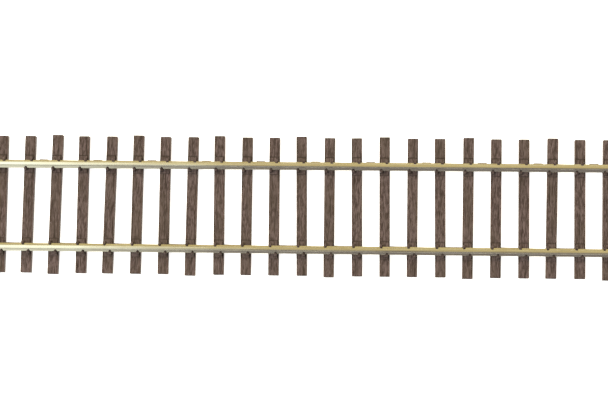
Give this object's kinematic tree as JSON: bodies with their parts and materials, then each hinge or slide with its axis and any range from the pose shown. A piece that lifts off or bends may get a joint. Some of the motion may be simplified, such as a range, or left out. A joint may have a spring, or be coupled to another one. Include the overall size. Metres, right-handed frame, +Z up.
{
  "type": "model track section",
  "caption": "Straight section of HO gauge flexible model railway track, with two metal rails that slide in moulded spike heads on a plastic tie strip.",
  "frame": {"origin": "on the underside of the middle tie, halfway along the section and halfway between the rails", "axes": "+X along the rails, +Y across the track to the left rail, +Z up"},
  "size_m": [0.1538, 0.0291, 0.0033],
  "materials": {
    "tie_plastic": "dark brown moulded plastic with a fine wood grain, matt",
    "rail_metal": "drawn nickel silver, bare and satin, slightly yellow"
  },
  "bodies": {
    "tie_strip": {"tie_01": "tie_plastic", "tie_02": "tie_plastic", "tie_03": "tie_plastic", "tie_04": "tie_plastic", "tie_05": "tie_plastic", "tie_06": "tie_plastic", "tie_07": "tie_plastic", "tie_08": "tie_plastic", "tie_09": "tie_plastic", "tie_10": "tie_plastic", "tie_11": "tie_plastic", "tie_12": "tie_plastic", "tie_13": "tie_plastic", "tie_14": "tie_plastic", "tie_15": "tie_plastic", "tie_16": "tie_plastic", "tie_17": "tie_plastic", "tie_18": "tie_plastic", "tie_19": "tie_plastic", "tie_20": "tie_plastic", "tie_21": "tie_plastic", "tie_22": "tie_plastic", "tie_23": "tie_plastic", "tie_24": "tie_plastic", "tie_25": "tie_plastic", "tie_26": "tie_plastic", "tie_27": "tie_plastic", "web_01": "tie_plastic", "web_02": "tie_plastic", "web_03": "tie_plastic", "web_04": "tie_plastic", "web_05": "tie_plastic", "web_06": "tie_plastic", "web_07": "tie_plastic", "web_08": "tie_plastic", "web_09": "tie_plastic", "web_10": "tie_plastic", "web_11": "tie_plastic", "web_12": "tie_plastic", "web_13": "tie_plastic", "web_14": "tie_plastic", "web_15": "tie_plastic", "web_16": "tie_plastic", "web_17": "tie_plastic", "web_18": "tie_plastic", "web_19": "tie_plastic", "web_20": "tie_plastic", "web_21": "tie_plastic", "web_22": "tie_plastic", "web_23": "tie_plastic", "web_24": "tie_plastic", "web_25": "tie_plastic", "web_26": "tie_plastic"},
    "left_rail": {"left_rail": "rail_metal"},
    "right_rail": {"right_rail": "rail_metal"}
  },
  "joints": [
    {"name": "left_rail_slide", "type": "slide", "parent": "tie_strip", "child": "left_rail", "axis": [1, 0, 0], "range_m": [-0.0171, 0.0171]},
    {"name": "right_rail_slide", "type": "slide", "parent": "tie_strip", "child": "right_rail", "axis": [1, 0, 0], "range_m": [-0.0171, 0.0171]}
  ]
}
